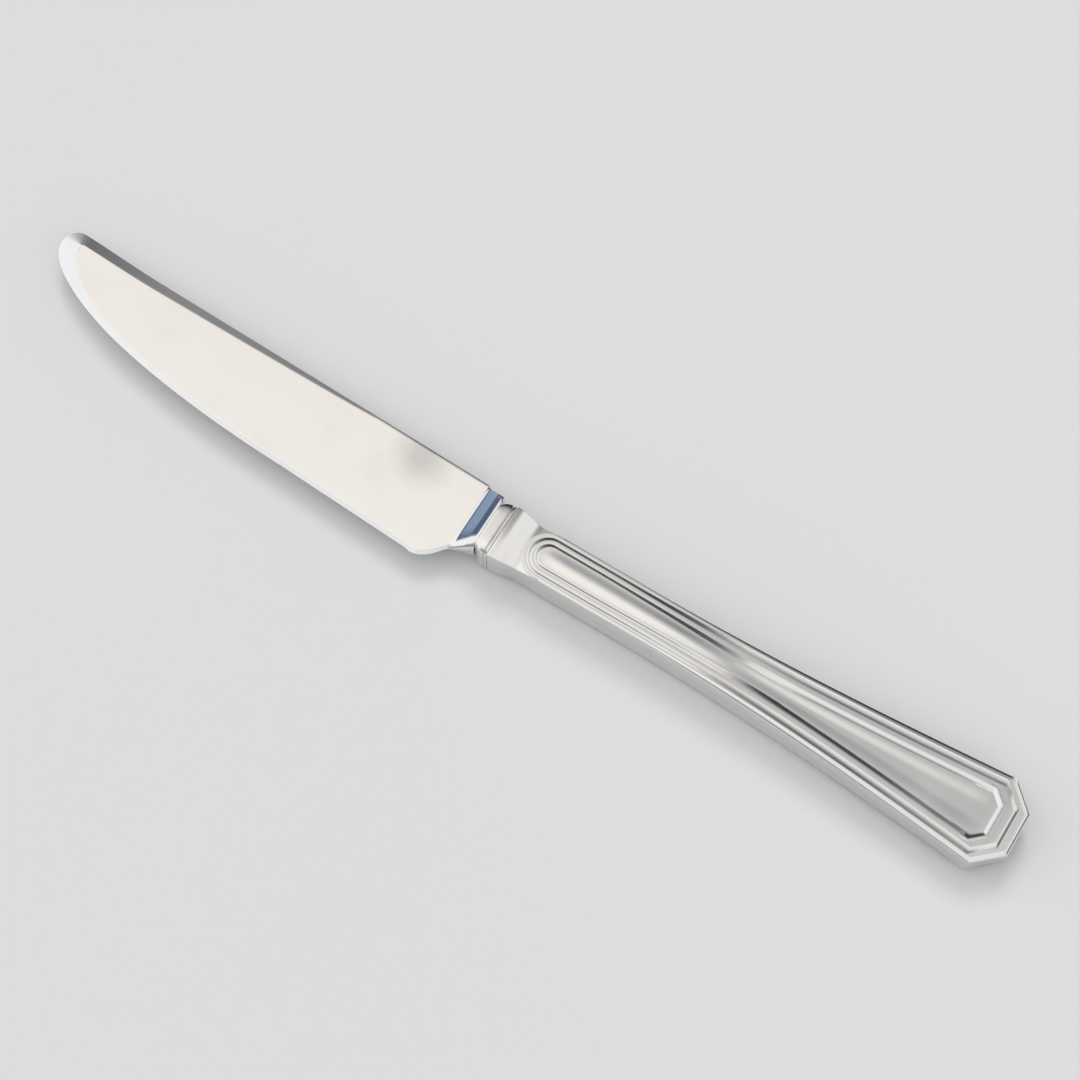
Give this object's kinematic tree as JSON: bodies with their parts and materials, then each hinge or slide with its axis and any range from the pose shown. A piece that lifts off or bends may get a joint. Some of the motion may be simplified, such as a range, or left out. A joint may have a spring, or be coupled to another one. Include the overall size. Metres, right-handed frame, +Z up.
{
  "type": "butter knife",
  "caption": "Polished steel table knife with a rounded spreading blade, a bolster and collar, and a hollow handle that flares to a clipped butt with a stepped border.",
  "frame": {"origin": "under the middle of the knife's box, on the plane it lies on", "axes": "+X from the blade's tip to the butt of the handle, +Y from the cutting edge to the spine, +Z up from the surface the knife lies on"},
  "size_m": [0.24, 0.0246, 0.0106],
  "materials": {
    "blade_steel": "mirror polished",
    "handle_steel": "polished",
    "braze": "as brazed",
    "cement": "matt resin"
  },
  "bodies": {
    "root": {"blade": "blade_steel", "mouth_collar": "handle_steel", "upper_shell": "handle_steel", "lower_shell": "handle_steel", "seam_braze": "braze", "tang_cement": "cement"}
  },
  "joints": []
}
